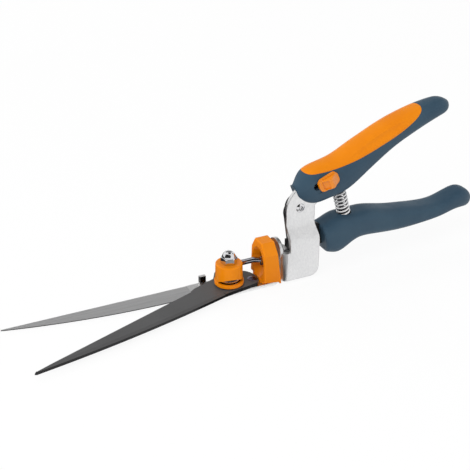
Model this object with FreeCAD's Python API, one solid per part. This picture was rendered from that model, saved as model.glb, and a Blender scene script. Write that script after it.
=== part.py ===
import FreeCAD, Part
import math
import os

from FreeCAD import Placement, Rotation, Vector

# Grass shears with a swivelling head, in millimetres and degrees.
# The origin is on the blade bolt's axis, at the underside of the lower blade.
# X runs back to the handles, Y to the far side, Z up.

# Overrun of every cut past the face it leaves
cut_over = 1.0

# Blades
blade_thickness = 2.5
blade_gap = 0.1
blade_reach = 155.0
blade_width = 13.0
blade_open_angle = 21.5
tip_blunt = 1.0
bevel_width = 0.7
bevel_depth = 1.6
spine_bevel_width = 2.6
spine_bevel_depth = 0.5
lower_bevel_width = 3.4
lower_bevel_depth = 1.7
grind_depth = 0.25
grind_runout = 1.0
base_half_width = 8.5
neck_length = 26.0
neck_half_width = 1.8
tail_radius = 21.0
crank_radius = 13.54
crank_open_angle = 85.76
crank_eye_radius = 5.7
rivet_place_radius = 17.3
rivet_place_angle = -25.5
stop_tab_width = 4.6
stop_tab_height = 4.5
stop_tab_place = 14.2
stop_tab_clearance = 0.4
plate_bend_radius = 1.5

# Blade bolt, sleeve and dome nut
bolt_radius = 3.0
bolt_head_radius = 5.6
running_fit = 0.08
seat_fit = 0.05
blade_washer_radius = 8.0
blade_washer_thickness = 1.0
sleeve_radius = 9.6
sleeve_top_radius = 9.3
sleeve_height = 15.3
sleeve_flange_radius = 10.2
sleeve_flange_height = 2.2
sleeve_rim_round = 0.9
sleeve_cavity_radius = 8.1
sleeve_cavity_height = 7.8
slot_rise = 4.2
slot_arch_radius = 13.5
slot_half_angle = 62.0
slot_centre_angle = -100.0
disc_count = 6
disc_radius = 7.7
disc_thickness = 0.75
disc_cone = 0.5
nut_flats = 10.0
nut_hex_height = 4.6
nut_turn = -16.5
nut_height = 9.0
nut_dome_radius = 4.7
nut_chamfer = 0.5
tail_rivet_radius = 3.5
tail_rivet_rise = 1.3
tail_rivet_shank = 1.8

# Swivel head
swivel_height = 17.0
collar_front = 22.0
head_flange_front = 31.6
head_flange_thickness = 2.5
collar_top_rise = 16.0
collar_top_half = 5.3
collar_shoulder_rise = 8.0
collar_shoulder_half = 10.3
collar_foot_half = 11.6
collar_rear_lean = 3.1
collar_rear_gap = 0.3
collar_edge_round = 0.8
funnel_half_width = 9.2
funnel_half_height = 12.6
funnel_drop = 0.8
funnel_depth = 5.0
funnel_throat_radius = 6.4
collar_foot_radius = 1.7
collar_foot_side = 4.5
collar_foot_height = 3.0
collar_wing_front = 3.0
collar_wing_back = 1.2
collar_wing_side = 7.6
bush_radius = 4.6
bush_bore_radius = 3.28
bush_head_radius = 7.0
bush_head_thickness = 1.3
bush_head_clearance = 0.6
swivel_washer_thickness = 0.8
swivel_washer_radius = 6.8
lock_washer_radius = 5.6
lock_washer_thickness = 1.5
swivel_nut_flats = 14.0
swivel_nut_height = 4.6
bush_end = 0.3
screw_radius = 1.5
screw_head_radius = 2.8
screw_length = 8.5
screw_back = 3.4
screw_side = 5.4

# Pull shaft and link
shaft_radius = 3.2
shaft_neck_radius = 2.2
shaft_pin_place = 27.0
link_pin_radius = 1.25
link_eye_radius = 3.0
link_eye_thickness = 2.6
link_side_clearance = 0.1
link_radius = 2.0
link_bend_radius = 3.4
link_level = 4.2
link_low_height = 10.5
link_hole_clearance = 0.35
link_clip_radius = 3.6
link_clip_thickness = 0.9
shaft_nut_flats = 7.0
shaft_nut_height = 4.0
fork_play = 0.15

# Bracket, one stamped plate
plate_thickness = 2.5
bracket_bottom = 2.4
bracket_half_width = 11.0
bracket_arch_radius = 8.6
bracket_arch_rise = 15.2
bracket_bend_radius = 5.4
bracket_notch_rise = 7.0
bracket_depth = 29.4
bracket_corner_radius = 6.5
bracket_neck_front = 6.6
bracket_neck_rear = 28.4
joggle_start = 15.6
joggle_end = 23.9
joggle_shift = 7.0
joggle_round = 9.0
bracket_waist = 0.9

# Lever and its rivet
lever_pivot_back = 52.0
lever_pivot_rise = 36.7
lever_thickness = 4.2
lever_side_gap = 0.1
lever_head_radius = 8.6
lever_cheek_radius = 9.7
lever_cheek_drop = 4.2
fork_radius = 4.6
fork_half_width = 5.5
fork_slot_clearance = 0.1
fork_slot_rise = 3.2
fork_height = 10.0
fork_neck_half = 3.6
tang_end = 150.0
tang_end_half = 3.2
tang_waist_back = 93.0
tang_root_half = 9.0
catch_reach = 4.6
catch_start_angle = 75.0
catch_end_angle = 88.0
lever_rivet_radius = 2.6
lever_rivet_head_radius = 3.3
lever_rivet_head_rise = 1.2
lever_rivet_dish_radius = 1.7
lever_washer_radius = 6.0
lever_washer_thickness = 0.8

# Top handle
top_grip_angle = 23.0
top_grip_nose_back = 47.5
top_grip_nose_rise = 48.5
top_grip_length = 129.5
top_grip_height = 30.0
top_grip_width = 23.5
inlay_thickness = 2.4
scallop_radius = 9.0
scallop_depth = 0.9
scallop_length = 84.0
scallop_middle = 62.0
scallop_height = 4.4
scallop_side = 9.6
scallop_tilt = 28.0
lever_pocket_clearance = 0.6
ear_room_angle = 2.4
top_tang_length = 85.0
handle_rivet_radius = 2.0
handle_rivet_sink = 1.6

# Lock
lock_travel = 8.0
lock_rest = 22.6
lock_height = -1.0
lock_flat = 10.2
lock_flat_length = 24.4
lock_flat_height = 10.8
lock_dish_length = 34.0
lock_dish_radius = 13.0
lock_dish_depth = 1.3
lock_dish_side = 11.3
lock_dish_back = 2.0
lock_slot_width = 5.0
lock_stem_clearance = 0.2
lock_grip_length = 15.4
lock_grip_height = 9.8
lock_grip_rise = 2.2
lock_ridge_rise = 3.4
lock_ridge_place = 1.6
lock_ridge_width = 1.4
lock_slope_end = 6.4
lock_panel_length = 4.6
lock_panel_height = 6.6
lock_panel_depth = 0.8
latch_thickness = 1.8
latch_length = 12.0
latch_height = 8.0
latch_clearance = 0.2
latch_pin_radius = 2.0

# Lower handle
low_grip_start = 64.0
low_grip_length = 136.0
low_grip_height = 34.0
low_grip_width = 22.8
low_face_top_back = 67.6
low_face_low_back = 73.0
low_face_top_rise = 22.4
low_face_low_rise = -1.5
low_face_round = 2.2
low_pin_radius = 2.0
low_pin_sink = 1.6

# Return spring and its seats
spring_wire_radius = 0.65
spring_mean_radius = 4.2
spring_turns = 7.0
spring_end_closing = 0.4
spring_upper_back = 83.6
spring_upper_rise = 44.2
spring_lower_back = 89.6
spring_lower_rise = 22.6
seat_post_radius = 3.1
seat_post_length = 4.0
seat_flange_radius = 4.9
seat_flange_thickness = 1.2
seat_pocket_clearance = 0.3
seat_pocket_reach = 14.0

# Stations of the two handles: place along, centre height, half height, half width
top_grip_shares = [
    (0.010, -0.030, 0.165, 0.190), (0.038, -0.115, 0.278, 0.300), (0.085, -0.121, 0.424, 0.415),
    (0.153, -0.145, 0.465, 0.475), (0.267, -0.213, 0.452, 0.500), (0.382, -0.154, 0.414, 0.495),
    (0.496, -0.080, 0.367, 0.475), (0.611, -0.026, 0.325, 0.460), (0.725, -0.024, 0.290, 0.445),
    (0.840, -0.055, 0.243, 0.425), (0.916, -0.099, 0.210, 0.395), (0.966, -0.134, 0.170, 0.320),
    (0.992, -0.145, 0.085, 0.180), (1.000, -0.145, 0.035, 0.080),
]
low_grip_shares = [
    (0.000, 0.265, 0.306, 0.430), (0.044, 0.272, 0.310, 0.450), (0.081, 0.284, 0.352, 0.475),
    (0.132, 0.307, 0.408, 0.495), (0.190, 0.372, 0.350, 0.500), (0.242, 0.426, 0.296, 0.500),
    (0.293, 0.440, 0.292, 0.490), (0.352, 0.420, 0.288, 0.475), (0.447, 0.369, 0.264, 0.460),
    (0.557, 0.340, 0.236, 0.445), (0.667, 0.334, 0.195, 0.435), (0.777, 0.373, 0.170, 0.430),
    (0.865, 0.468, 0.196, 0.405), (0.923, 0.494, 0.218, 0.365), (0.960, 0.466, 0.180, 0.290),
    (0.989, 0.430, 0.065, 0.150), (1.000, 0.415, 0.030, 0.070),
]
top_power_share = 2.4
low_power_share = 3.2
section_points = 24
# Lower edge of the grip inlay: place along and height
inlay_edge_shares = [
    (0.070, 0.420), (0.092, 0.310), (0.116, 0.258), (0.147, 0.215), (0.214, 0.130),
    (0.313, 0.050), (0.428, 0.010), (0.530, 0.000), (0.643, 0.010), (0.745, 0.070),
    (0.815, 0.160), (0.865, 0.300), (0.895, 0.600),
]

# Places that follow from the sizes above
upper_bottom = blade_thickness + blade_gap
upper_top = upper_bottom + blade_thickness
washer_bottom = upper_top + blade_gap
sleeve_bottom = washer_bottom + blade_washer_thickness
sleeve_top = sleeve_bottom + sleeve_height
head_flange_back = head_flange_front + head_flange_thickness
bracket_front = head_flange_back + swivel_washer_thickness
bracket_flange_back = bracket_front + plate_thickness
swivel_nut_front = bracket_flange_back + lock_washer_thickness
bush_back = swivel_nut_front + swivel_nut_height + bush_end
lever_pivot_height = swivel_height + lever_pivot_rise
bracket_rear = bracket_front + bracket_depth
neck_outer_side = -bracket_half_width + joggle_shift
neck_inner_side = neck_outer_side + plate_thickness
lever_near_side = neck_inner_side + lever_side_gap
lever_far_side = lever_near_side + lever_thickness
grip_nose = Vector(top_grip_nose_back, 0, swivel_height + top_grip_nose_rise)
grip_placement = Placement(grip_nose, Rotation(Vector(0, 1, 0), -top_grip_angle))


def turned(x, y, angle):
    """A plan point turned about the blade bolt."""
    c = math.cos(math.radians(angle))
    s = math.sin(math.radians(angle))
    return x * c - y * s, x * s + y * c


def crank_at(angle_closed):
    """The crank hole's plan place when the upper blade has closed by an angle."""
    angle = math.radians(crank_open_angle - angle_closed)
    return crank_radius * math.cos(angle), crank_radius * math.sin(angle)


crank_x, crank_y = crank_at(0)
link_length = math.hypot(shaft_pin_place - crank_x, crank_y)
closed_x, closed_y = crank_at(blade_open_angle)
shaft_travel = closed_x + math.sqrt(link_length ** 2 - closed_y ** 2) - shaft_pin_place
link_open_angle = math.degrees(math.asin(crank_y / link_length))
link_closed_angle = math.degrees(math.asin(closed_y / link_length))
lever_half_travel = math.asin(shaft_travel / 2 / lever_pivot_rise)
fork_back = lever_pivot_back - lever_pivot_rise * math.sin(lever_half_travel)
shaft_shoulder = fork_back - fork_radius - fork_play
shaft_nut_front = fork_back + fork_radius + fork_play


def rod(radius, length, base, axis):
    return Part.makeCylinder(radius, length, base, axis)


def upright(radius, bottom, top, x=0, y=0):
    return rod(radius, top - bottom, Vector(x, y, bottom), Vector(0, 0, 1))


def lengthwise(radius, front, back, y=0, z=swivel_height):
    return rod(radius, back - front, Vector(front, y, z), Vector(1, 0, 0))


def crosswise(radius, near, far, x, z):
    return rod(radius, far - near, Vector(x, near, z), Vector(0, 1, 0))


def block(low, high):
    return Part.makeBox(high[0] - low[0], high[1] - low[1], high[2] - low[2], Vector(*low))


def line(a, b):
    return Part.makeLine(a, b)


def arc(a, middle, b):
    return Part.Arc(a, middle, b).toShape()


def prism(edges, reach):
    """A solid from a closed run of edges, drawn out along a vector."""
    return Part.Face(Part.Wire(edges)).extrude(reach)


def polygon_prism(points, reach):
    return Part.Face(Part.makePolygon(points + points[:1])).extrude(reach)


def spun(points, base, x_axis, z_axis):
    """A solid of revolution from radius and height pairs about an axis."""
    corners = [base + x_axis * r + z_axis * h for r, h in points]
    face = Part.Face(Part.makePolygon(corners + corners[:1]))
    return face.revolve(base, z_axis, 360)


def hexagon(flats, front, back, x_axis, base, z_axis):
    """A six-sided bar along an axis, with a corner in a given direction."""
    corner = flats / math.sqrt(3)
    y_axis = z_axis.cross(x_axis)
    start = base + z_axis * front
    points = []
    for index in range(6):
        angle = math.radians(60 * index)
        points.append(start + x_axis * corner * math.cos(angle) + y_axis * corner * math.sin(angle))
    return polygon_prism(points, z_axis * (back - front))


def ring_sector(inner, outer, start, end, bottom, top, centre):
    """A sector of a ring about an upright axis, between two angles."""
    base = centre + Vector(0, 0, bottom)
    solid = Part.makeCylinder(outer, top - bottom, base, Vector(0, 0, 1), end - start)
    solid.rotate(centre, Vector(0, 0, 1), start)
    return solid.cut(Part.makeCylinder(inner, top - bottom, base))


def oval_section(centre, across, rise, half_width, half_height, power):
    """A closed smooth section between an ellipse and a rounded box."""
    points = []
    for index in range(section_points):
        angle = 2 * math.pi * index / section_points
        c = math.cos(angle)
        s = math.sin(angle)
        side = math.copysign(abs(c) ** (2 / power), c)
        up = math.copysign(abs(s) ** (2 / power), s)
        points.append(centre + across * half_width * side + rise * half_height * up)
    curve = Part.BSplineCurve()
    curve.interpolate(Points=points, PeriodicFlag=True)
    return Part.Wire(curve.toShape())


def grip_loft(shares, length, height, width, power, inset):
    """A handle's body through its stations, along X from its own origin."""
    across = Vector(0, 1, 0)
    rise = Vector(0, 0, 1)
    wires = []
    for along, centre, half_height, half_width in shares:
        tall = half_height * height - inset
        wide = half_width * width - inset
        if min(tall, wide) < inset:
            continue
        middle = Vector(along * length, 0, centre * height)
        wires.append(oval_section(middle, across, rise, wide, tall, power))
    return Part.makeLoft(wires, True, False)


def bent_rod(points, radius, bend_radius):
    """A round bar along straight runs joined by tangent arcs."""
    edges = []
    start = points[0]
    for index in range(1, len(points) - 1):
        corner = points[index]
        before = (points[index - 1] - corner).normalize()
        after = (points[index + 1] - corner).normalize()
        half_turn = (math.pi - before.getAngle(after)) / 2
        setback = bend_radius * math.tan(half_turn)
        entry = corner + before * setback
        leave = corner + after * setback
        towards = (before + after).normalize()
        middle = corner + towards * (bend_radius / math.cos(half_turn) - bend_radius)
        edges.append(line(start, entry))
        edges.append(arc(entry, middle, leave))
        start = leave
    edges.append(line(start, points[-1]))
    path = Part.Wire(edges)
    first = (points[1] - points[0]).normalize()
    section = Part.Wire(Part.Circle(points[0], first, radius).toShape())
    return path.makePipeShell([section], True, False)


def upper_blade_outline():
    """Plan outline of the closed upper blade, from tip round to tip."""
    reach = blade_reach - 2 * tip_blunt
    tip = (-reach, blade_width)
    spine_end = (-reach + tip_blunt, blade_width - tip_blunt)
    spine_middle = (-reach * 0.55, -blade_width * 0.03)
    neck_near = (-base_half_width * 1.4, -base_half_width)
    tail_near = (tail_radius * 0.667, -tail_radius * 0.657)
    tail_back = (tail_radius * 0.995, -tail_radius * 0.1)
    tail_far = (tail_radius * 0.85, tail_radius * 0.3)
    eye_x, eye_y = crank_at(blade_open_angle)
    eye_back = (eye_x + crank_eye_radius * math.cos(math.radians(10)),
                eye_y + crank_eye_radius * math.sin(math.radians(10)))
    eye_top = (eye_x + crank_eye_radius * math.cos(math.radians(70)),
               eye_y + crank_eye_radius * math.sin(math.radians(70)))
    eye_front = (eye_x + crank_eye_radius * math.cos(math.radians(124)),
                 eye_y + crank_eye_radius * math.sin(math.radians(124)))
    stop_line = blade_width - stop_tab_clearance - bolt_radius * 0.2
    root_back = (-base_half_width * 0.4, stop_line)
    root_front = (-neck_length * 0.84, stop_line)
    edge_start = (-neck_length, stop_line - tip_blunt)
    return tip, spine_end, spine_middle, neck_near, tail_near, tail_back, tail_far, \
        eye_back, eye_top, eye_front, root_back, root_front, edge_start


def plan_point(point, height):
    x, y = turned(point[0], point[1], blade_open_angle)
    return Vector(x, y, height)


def ground_edge(path, depth, width, side):
    """A wedge swept along a blade's edge: it takes a depth off the edge and runs out at a width.

    The blade lies to the left of the path. The side is 1 for its underside and -1 for its top."""
    up = Vector(0, 0, side)
    start = path[0].valueAt(path[0].FirstParameter)
    inward = Vector(0, 0, 1).cross(path[0].tangentAt(path[0].FirstParameter)).normalize()
    fall = up * (depth / width * cut_over)
    outer = start - inward * cut_over
    corners = [outer + up * depth + fall, start + inward * (width + cut_over) - fall, outer - fall]
    section = Part.makePolygon(corners + corners[:1])
    return Part.Wire(path).makePipeShell([section], True, False)


def make_upper_blade():
    points = [plan_point(point, upper_bottom) for point in upper_blade_outline()]
    (tip, spine_end, spine_middle, neck_near, tail_near, tail_back, tail_far,
     eye_back, eye_top, eye_front, root_back, root_front, edge_start) = points
    edges = [
        line(tip, spine_end), arc(spine_end, spine_middle, neck_near), line(neck_near, tail_near),
        arc(tail_near, tail_back, tail_far), line(tail_far, eye_back), arc(eye_back, eye_top, eye_front),
        line(eye_front, root_back), line(root_back, root_front), line(root_front, edge_start),
        line(edge_start, tip),
    ]
    blade = prism(edges, Vector(0, 0, blade_thickness))
    rivet_x, rivet_y = rivet_place()
    holes = [(bolt_radius + running_fit, 0, 0), (link_radius + link_hole_clearance, crank_x, crank_y),
             (tail_rivet_shank, rivet_x, rivet_y)]
    for radius, x, y in holes:
        blade = blade.cut(upright(radius, upper_bottom - cut_over, upper_top + cut_over, x, y))
    past_tip = (tip - edge_start).normalize() * 2 * tip_blunt
    lift = Vector(0, 0, blade_thickness)
    cutting_edge = line(edge_start + lift, tip + past_tip + lift)
    blade = blade.cut(ground_edge([cutting_edge], bevel_depth, bevel_width, -1))
    spine = arc(spine_end + lift, spine_middle + lift, neck_near + lift)
    return blade.cut(ground_edge([spine], spine_bevel_depth, spine_bevel_width, -1))


def rivet_place():
    """Plan place of the tail rivet with the blades open."""
    angle = rivet_place_angle + blade_open_angle
    angle = math.radians(angle)
    return rivet_place_radius * math.cos(angle), rivet_place_radius * math.sin(angle)


def make_tail_rivet():
    """Domed rivet in the upper blade's tail, which rubs on the base plate."""
    x, y = rivet_place()
    dome_radius = (tail_rivet_radius ** 2 + tail_rivet_rise ** 2) / (2 * tail_rivet_rise)
    ball = Part.makeSphere(dome_radius, Vector(x, y, upper_top + tail_rivet_rise - dome_radius))
    dome = ball.common(upright(tail_rivet_radius, upper_top, upper_top + tail_rivet_rise + cut_over, x, y))
    return dome.fuse(upright(tail_rivet_shank, upper_bottom, upper_top, x, y)).removeSplitter()


def make_lower_blade():
    """Lower blade with its base plate, stop tab and upright head flange."""
    tip = Vector(-blade_reach, blade_width, 0)
    edge_end = Vector(-blade_reach + tip_blunt, blade_width - tip_blunt, 0)
    edge_middle = Vector(-blade_reach * 0.58, blade_width * 0.07, 0)
    edge_start = Vector(-neck_length, -neck_half_width, 0)
    base_near = Vector(-base_half_width * 1.3, -base_half_width, 0)
    back_near = Vector(head_flange_front - plate_bend_radius, -base_half_width, 0)
    back_far = Vector(back_near.x, base_half_width, 0)
    base_far = Vector(base_half_width * 0.6, base_half_width, 0)
    shoulder = Vector(-stop_tab_place + stop_tab_width / 2, blade_width, 0)
    spine_root = Vector(-neck_length * 0.9, blade_width, 0)
    edges = [
        line(tip, edge_end), arc(edge_end, edge_middle, edge_start), line(edge_start, base_near),
        line(base_near, back_near), line(back_near, back_far), line(back_far, base_far),
        line(base_far, shoulder), line(shoulder, spine_root), line(spine_root, tip),
    ]
    blade = prism(edges, Vector(0, 0, blade_thickness)).cut(ground_flat())
    cutting_edge = arc(edge_end, edge_middle, edge_start)
    heading = cutting_edge.tangentAt(cutting_edge.FirstParameter)
    path = [line(edge_end - heading * 2 * tip_blunt, edge_end), cutting_edge]
    blade = blade.cut(ground_edge(path, lower_bevel_depth, lower_bevel_width, 1))
    blade = blade.fuse(head_flange()).fuse(stop_tab())
    for x, y in screw_places():
        blade = blade.cut(countersunk(screw_radius, screw_head_radius, x, y, blade_thickness))
    blade = blade.cut(countersunk(bolt_radius, bolt_head_radius, 0, 0, blade_thickness))
    return blade.removeSplitter()


def ground_flat():
    """What grinding takes off the lower blade's top, in front of its root."""
    ground = blade_thickness - grind_depth
    side = -blade_width
    tip_end = -blade_reach - cut_over
    over = blade_thickness + cut_over
    points = [Vector(-neck_length, side, over), Vector(-neck_length, side, blade_thickness),
              Vector(-neck_length - grind_runout, side, ground), Vector(tip_end, side, ground),
              Vector(tip_end, side, over)]
    return polygon_prism(points, Vector(0, 3 * blade_width, 0))


def countersunk(radius, head_radius, x, y, top):
    """A shank with a flush cone head at the underside of the base plate."""
    head = Part.makeCone(head_radius, radius, head_radius - radius, Vector(x, y, 0), Vector(0, 0, 1))
    return head.fuse(upright(radius, 0, top, x, y)).removeSplitter()


def head_flange():
    """The base plate's rear end, bent up and rounded off over the swivel axis."""
    inner = plate_bend_radius
    outer = plate_bend_radius + blade_thickness
    bend_x = head_flange_front - inner
    side = -base_half_width
    quarter = math.sqrt(0.5)
    low = Vector(bend_x, side, 0)
    low_middle = Vector(bend_x + outer * quarter, side, outer - outer * quarter)
    low_end = Vector(bend_x + outer, side, outer)
    top_back = Vector(bend_x + outer, side, swivel_height)
    top_front = Vector(bend_x + inner, side, swivel_height)
    high_end = Vector(bend_x + inner, side, outer)
    high_middle = Vector(bend_x + inner * quarter, side, outer - inner * quarter)
    high = Vector(bend_x, side, blade_thickness)
    edges = [
        arc(low, low_middle, low_end), line(low_end, top_back), line(top_back, top_front),
        line(top_front, high_end), arc(high_end, high_middle, high), line(high, low),
    ]
    flange = prism(edges, Vector(0, 2 * base_half_width, 0))
    flange = flange.fuse(lengthwise(base_half_width, head_flange_front, head_flange_back))
    return flange.cut(lengthwise(bush_radius + running_fit, head_flange_front - cut_over,
                                 head_flange_back + cut_over))


def stop_tab():
    """Tab bent up from the far edge, which the closed upper blade meets."""
    near = blade_width - stop_tab_clearance
    far = near + blade_thickness
    start = -stop_tab_place - stop_tab_width / 2
    outer = blade_thickness + plate_bend_radius * 0.2
    quarter = math.sqrt(0.5)
    top = blade_thickness + stop_tab_height
    points = [
        Vector(start, near - blade_thickness, 0), Vector(start, far - outer, 0),
        Vector(start, far - outer + outer * quarter, outer - outer * quarter), Vector(start, far, outer),
        Vector(start, far, top), Vector(start, near, top), Vector(start, near, blade_thickness),
        Vector(start, near - blade_thickness, blade_thickness),
    ]
    edges = [line(points[0], points[1]), arc(points[1], points[2], points[3])]
    for index in range(3, 7):
        edges.append(line(points[index], points[index + 1]))
    edges.append(line(points[7], points[0]))
    return prism(edges, Vector(stop_tab_width, 0, 0))


def screw_places():
    x = head_flange_front - screw_back
    return [(x, -screw_side), (x, screw_side)]


def make_collar_screws():
    screws = [countersunk(screw_radius, screw_head_radius, x, y, screw_length) for x, y in screw_places()]
    return Part.makeCompound(screws)


def make_blade_bolt():
    top = sleeve_top + nut_hex_height
    return countersunk(bolt_radius, bolt_head_radius, 0, 0, top)


def make_blade_washer():
    washer = upright(blade_washer_radius, washer_bottom, sleeve_bottom)
    return washer.cut(upright(bolt_radius + seat_fit, washer_bottom - cut_over, sleeve_bottom + cut_over))


def make_blade_sleeve():
    """Moulded sleeve with a foot flange and a crescent window on its near side."""
    body = Part.makeCone(sleeve_radius, sleeve_top_radius, sleeve_height, Vector(0, 0, sleeve_bottom))
    body = body.fuse(upright(sleeve_flange_radius, sleeve_bottom, sleeve_bottom + sleeve_flange_height))
    top_rim = [edge for edge in body.Edges if is_rim(edge, sleeve_top, sleeve_top_radius)]
    body = body.makeFillet(sleeve_rim_round, top_rim)
    ledge = sleeve_bottom + sleeve_flange_height
    flange_rim = [edge for edge in body.Edges if is_rim(edge, ledge, sleeve_flange_radius)]
    body = body.makeFillet((sleeve_flange_radius - sleeve_radius) / 2, flange_rim)
    ceiling = sleeve_bottom + sleeve_cavity_height
    body = body.cut(upright(sleeve_cavity_radius, sleeve_bottom - cut_over, ceiling))
    body = body.cut(upright(bolt_radius + seat_fit, sleeve_bottom, sleeve_top + cut_over))
    return body.cut(crescent_window())


def is_rim(edge, height, radius):
    """True for the round edge of a given height and radius."""
    if not isinstance(edge.Curve, Part.Circle):
        return False
    level = abs(edge.Curve.Center.z - height) < seat_fit
    return level and abs(edge.Curve.Radius - radius) < seat_fit


def crescent_window():
    """A window with a flat sill and an arched head, cut inward from the near side."""
    sill = sleeve_bottom + sleeve_flange_height
    half_width = sleeve_radius * math.sin(math.radians(slot_half_angle))
    drop = slot_arch_radius - math.sqrt(slot_arch_radius ** 2 - half_width ** 2)
    reach = sleeve_flange_radius + cut_over
    left = Vector(0, -half_width, sill)
    right = Vector(0, half_width, sill)
    left_top = Vector(0, -half_width, sill + slot_rise - drop)
    right_top = Vector(0, half_width, sill + slot_rise - drop)
    crown = Vector(0, 0, sill + slot_rise)
    edges = [line(left, right), line(right, right_top), arc(right_top, crown, left_top),
             line(left_top, left)]
    window = prism(edges, Vector(reach, 0, 0))
    window.rotate(Vector(0, 0, 0), Vector(0, 0, 1), slot_centre_angle)
    return window


def make_tension_discs():
    """Cup springs stacked in turn about the bolt, which press the blades together."""
    pitch = sleeve_cavity_height / disc_count
    inner = bolt_radius + running_fit + seat_fit
    discs = []
    for index in range(disc_count):
        bottom = sleeve_bottom + pitch * index
        low, high = (0, disc_cone) if index % 2 == 0 else (disc_cone, 0)
        points = [(inner, low), (disc_radius, high), (disc_radius, high + disc_thickness),
                  (inner, low + disc_thickness)]
        discs.append(spun(points, Vector(0, 0, bottom), Vector(1, 0, 0), Vector(0, 0, 1)))
    return Part.makeCompound(discs)


def make_acorn_nut():
    """Hexagon nut with a domed cap."""
    up = Vector(0, 0, 1)
    nut = hexagon(nut_flats, sleeve_top, sleeve_top + nut_hex_height, Vector(1, 0, 0), Vector(0, 0, 0), up)
    corner = nut_flats / math.sqrt(3)
    trim = [(0, 0), (corner - nut_chamfer, 0), (corner, nut_chamfer),
            (corner, nut_hex_height - nut_chamfer), (nut_flats / 2, nut_hex_height), (0, nut_hex_height)]
    nut = nut.common(spun(trim, Vector(0, 0, sleeve_top), Vector(1, 0, 0), up))
    dome_height = nut_height - nut_hex_height
    base = Vector(0, 0, sleeve_top + nut_hex_height)
    start = base + Vector(nut_dome_radius, 0, 0)
    shoulder = start + up * (dome_height - nut_dome_radius)
    crown = base + up * dome_height
    bend = base + Vector(nut_dome_radius * math.sqrt(0.5), 0,
                         dome_height - nut_dome_radius + nut_dome_radius * math.sqrt(0.5))
    edges = [line(base, start), line(start, shoulder), arc(shoulder, bend, crown), line(crown, base)]
    dome = Part.Face(Part.Wire(edges)).revolve(base, up, 360)
    nut = nut.fuse(dome).cut(upright(bolt_radius, sleeve_top, sleeve_top + nut_hex_height)).removeSplitter()
    nut.rotate(Vector(0, 0, 0), up, nut_turn)
    return nut


def make_head_collar():
    """Moulded arch over the swivel, with a wide funnel for the link."""
    foot = blade_thickness + blade_gap
    top = swivel_height + collar_top_rise
    shoulder = swivel_height + collar_shoulder_rise
    back = bracket_front - collar_rear_gap
    halves = [(collar_foot_half, foot), (collar_shoulder_half, shoulder), (collar_top_half, top)]
    outline = [Vector(collar_front, y, z) for y, z in halves]
    outline += [Vector(collar_front, -y, z) for y, z in reversed(halves)]
    body = polygon_prism(outline, Vector(back - collar_front, 0, 0))
    rounded = [edge for edge in body.Edges if abs(edge.Length - (back - collar_front)) < seat_fit
               and edge.CenterOfMass.z > foot + cut_over]
    front_rim = [edge for edge in body.Edges if edge.CenterOfMass.x < collar_front + seat_fit
                 and edge.CenterOfMass.z > foot + cut_over]
    body = body.makeFillet(collar_edge_round, rounded + front_rim)
    near = -collar_foot_half - cut_over
    over_top = top + cut_over
    lean = [Vector(back, near, foot), Vector(back + cut_over, near, foot),
            Vector(back + cut_over, near, over_top), Vector(back - collar_rear_lean, near, over_top)]
    body = body.cut(polygon_prism(lean, Vector(0, -2 * near, 0)))
    body = body.cut(funnel())
    pocket = lengthwise(base_half_width, head_flange_front, back + cut_over)
    pocket = pocket.fuse(block((head_flange_front, -base_half_width, foot - cut_over),
                               (back + cut_over, base_half_width, swivel_height)))
    body = body.cut(pocket)
    root = block((head_flange_front - plate_bend_radius, -base_half_width, foot - cut_over),
                 (head_flange_front + cut_over, base_half_width, blade_thickness + plate_bend_radius))
    body = body.cut(root)
    for side in (-1, 1):
        spot = Vector(collar_front + collar_foot_radius / 3, side * collar_foot_side, foot)
        lug = rod(collar_foot_radius, collar_foot_height, spot, Vector(0, 0, 1))
        body = body.fuse(lug).cut(wing_relief(side, foot, back))
    for x, y in screw_places():
        body = body.cut(upright(screw_radius, foot - cut_over, screw_length, x, y))
    return body.removeSplitter()


def wing_relief(side, foot, back):
    """Space under one flank of the collar, higher in front than behind."""
    near = side * collar_wing_side
    front = collar_front - cut_over
    heel = back - collar_wing_back
    corners = [Vector(front, near, foot - cut_over), Vector(front, near, foot + collar_wing_front),
               Vector(heel, near, foot + collar_wing_back), Vector(heel, near, foot - cut_over)]
    return polygon_prism(corners, Vector(0, side * collar_foot_half, 0))


def funnel():
    """The tapering mouth, the throat behind it and the room for the bush's head."""
    mouth_centre = Vector(collar_front - cut_over, 0, swivel_height - funnel_drop)
    ellipse = Part.Ellipse(mouth_centre, funnel_half_height, funnel_half_width).toShape()
    ellipse.rotate(mouth_centre, Vector(0, 1, 0), 90)
    throat_front = collar_front + funnel_depth
    throat_centre = Vector(throat_front, 0, swivel_height)
    circle = Part.Circle(throat_centre, Vector(1, 0, 0), funnel_throat_radius).toShape()
    taper = Part.makeLoft([Part.Wire(ellipse), Part.Wire(circle)], True, True)
    throat = lengthwise(funnel_throat_radius, throat_front - cut_over / 4, head_flange_front + cut_over)
    room_front = head_flange_front - bush_head_thickness - bush_head_clearance
    room = lengthwise(bush_head_radius + bush_head_clearance, room_front, head_flange_front + cut_over)
    return taper.fuse(throat).fuse(room)


def make_swivel_bush():
    """Hollow swivel stud, clamped in the bracket, on which the head turns."""
    head_back = head_flange_front - blade_gap
    bush = lengthwise(bush_head_radius, head_back - bush_head_thickness, head_back)
    bush = bush.fuse(lengthwise(bush_radius, head_back, bush_back))
    bore = lengthwise(bush_bore_radius, head_back - bush_head_thickness - cut_over, bush_back + cut_over)
    return bush.cut(bore).removeSplitter()


def flat_ring(outer, inner, front, back):
    return lengthwise(outer, front, back).cut(lengthwise(inner, front - cut_over, back + cut_over))


def make_swivel_washer():
    return flat_ring(swivel_washer_radius, bush_radius, head_flange_back + blade_gap, bracket_front)


def make_lock_washer():
    return flat_ring(lock_washer_radius, bush_radius, bracket_flange_back, swivel_nut_front)


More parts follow.
